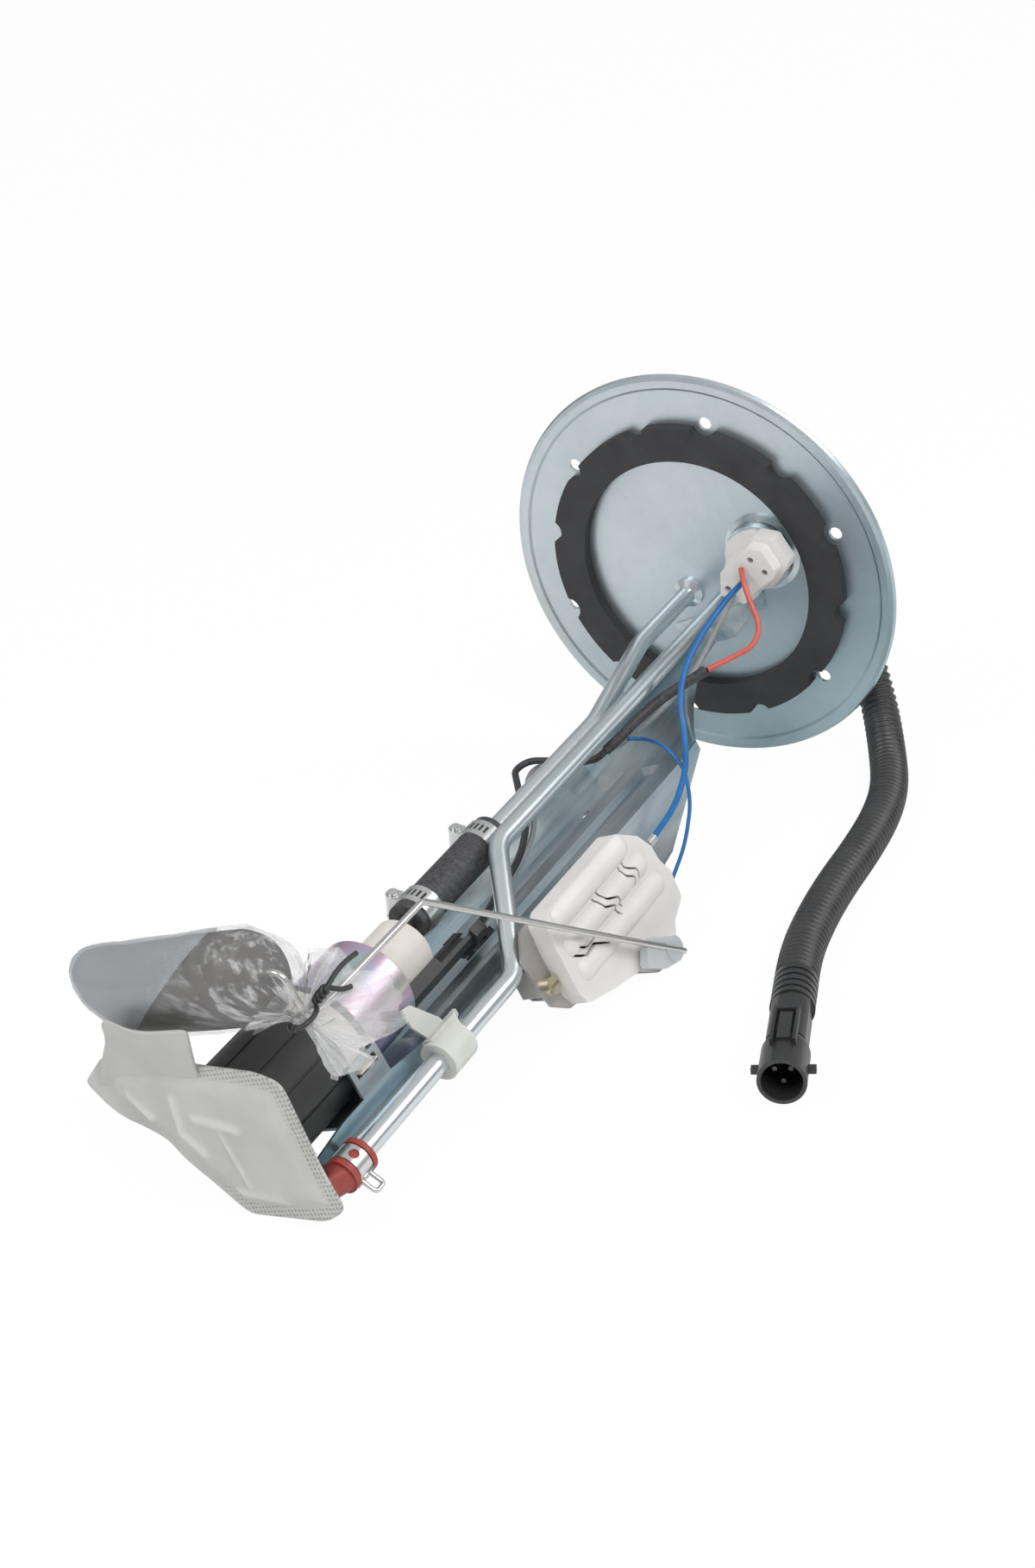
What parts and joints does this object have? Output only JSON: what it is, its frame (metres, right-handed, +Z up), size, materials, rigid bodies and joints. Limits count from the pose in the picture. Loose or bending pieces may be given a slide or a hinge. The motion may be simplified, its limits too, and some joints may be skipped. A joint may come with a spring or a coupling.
{
  "type": "fuel pump module",
  "caption": "In-tank fuel pump module: steel mounting flange with two lines, ribbed bracket, electric pump, pickup sock, level sender with hinged float arm and a wiring tail.",
  "frame": {"origin": "centre of the mounting flange's sealing face, at the middle of its bolt circle", "axes": "the module lies on a level table as in use on a bench: +Z is up, +X runs from the flange towards the pump and pickup sock, +Y towards the level sender and the wiring tail; the table is at z = -0.0931 m"},
  "size_m": [0.439, 0.2602, 0.1888],
  "materials": {
    "black_plastic": "matt",
    "black_rubber": "matt",
    "brass": "satin",
    "can_plating": "passivated zinc, iridescent",
    "card": "satin",
    "clear_plastic": "translucent",
    "conduit_black": "ribbed, satin",
    "copper": "satin",
    "cream_plastic": "matt",
    "felt": "felted mesh",
    "film": "clear film",
    "float_grey": "matt",
    "gasket_rubber": "matt",
    "magnet": "matt",
    "red_rubber": "matt",
    "stainless": "satin",
    "steel_line": "bright zinc plating",
    "white_plastic": "matt",
    "wire_black": "satin",
    "wire_blue": "satin",
    "wire_grey": "satin",
    "wire_red": "satin",
    "zinc_steel": "bright zinc plating"
  },
  "bodies": {
    "frame": {"bracket": "zinc_steel", "bulkhead_connector": "white_plastic", "clamp_screws": "zinc_steel", "connector_boot": "black_plastic", "connector_cup": "zinc_steel", "connector_pins": "brass", "duckbill_valve": "red_rubber", "feed_pins": "brass", "flange_gasket": "gasket_rubber", "flange_plate": "zinc_steel", "harness_conduit": "conduit_black", "harness_connector": "black_plastic", "harness_plug": "black_plastic", "hose_clamp_lower": "stainless", "hose_clamp_upper": "stainless", "line_clip": "white_plastic", "outlet_hose": "black_rubber", "pickup_sock": "felt", "pump_bearings": "brass", "pump_can": "can_plating", "pump_cap": "cream_plastic", "pump_inlet": "black_plastic", "pump_magnets": "magnet", "pump_outlet": "black_plastic", "pump_plug": "black_plastic", "pump_sleeve": "black_rubber", "pump_strap": "cream_plastic", "pump_volute": "black_plastic", "resistor_card": "card", "return_line": "steel_line", "sender_housing": "white_plastic", "sender_plate": "zinc_steel", "sender_screw": "zinc_steel", "sender_terminal": "brass", "sock_neck": "white_plastic", "supply_line": "steel_line", "valve_clamp": "stainless", "wire_blue": "wire_blue", "wire_ground": "wire_grey", "wire_pump": "wire_black", "wire_red": "wire_red", "wire_sender": "wire_blue", "wire_sleeve": "black_rubber"},
    "arm": {"sender_rotor": "clear_plastic", "sender_wiper": "brass", "float_wire": "steel_line", "float_body": "float_grey", "push_nut": "stainless", "float_bag": "film", "twist_tie": "black_plastic"},
    "pump_rotor": {"rotor_shaft": "stainless", "armature": "copper", "impeller": "black_plastic"},
    "check_ball": {"check_ball": "stainless"}
  },
  "joints": [
    {"name": "float_arm", "type": "hinge", "parent": "frame", "child": "arm", "pos_m": [0.18183, 0.07045, -0.08638], "axis": [-0.0431, -0.9499, -0.3097], "range_deg": [0, 55]},
    {"name": "pump_rotor", "type": "hinge", "parent": "frame", "child": "pump_rotor", "pos_m": [0.32443, 0.0079, -0.06291], "axis": [0.9905, 0, -0.1378], "continuous": true},
    {"name": "check_valve", "type": "slide", "parent": "frame", "child": "check_ball", "axis": [-0.9905, 0, 0.1378], "range_m": [0, 0.0015]}
  ]
}
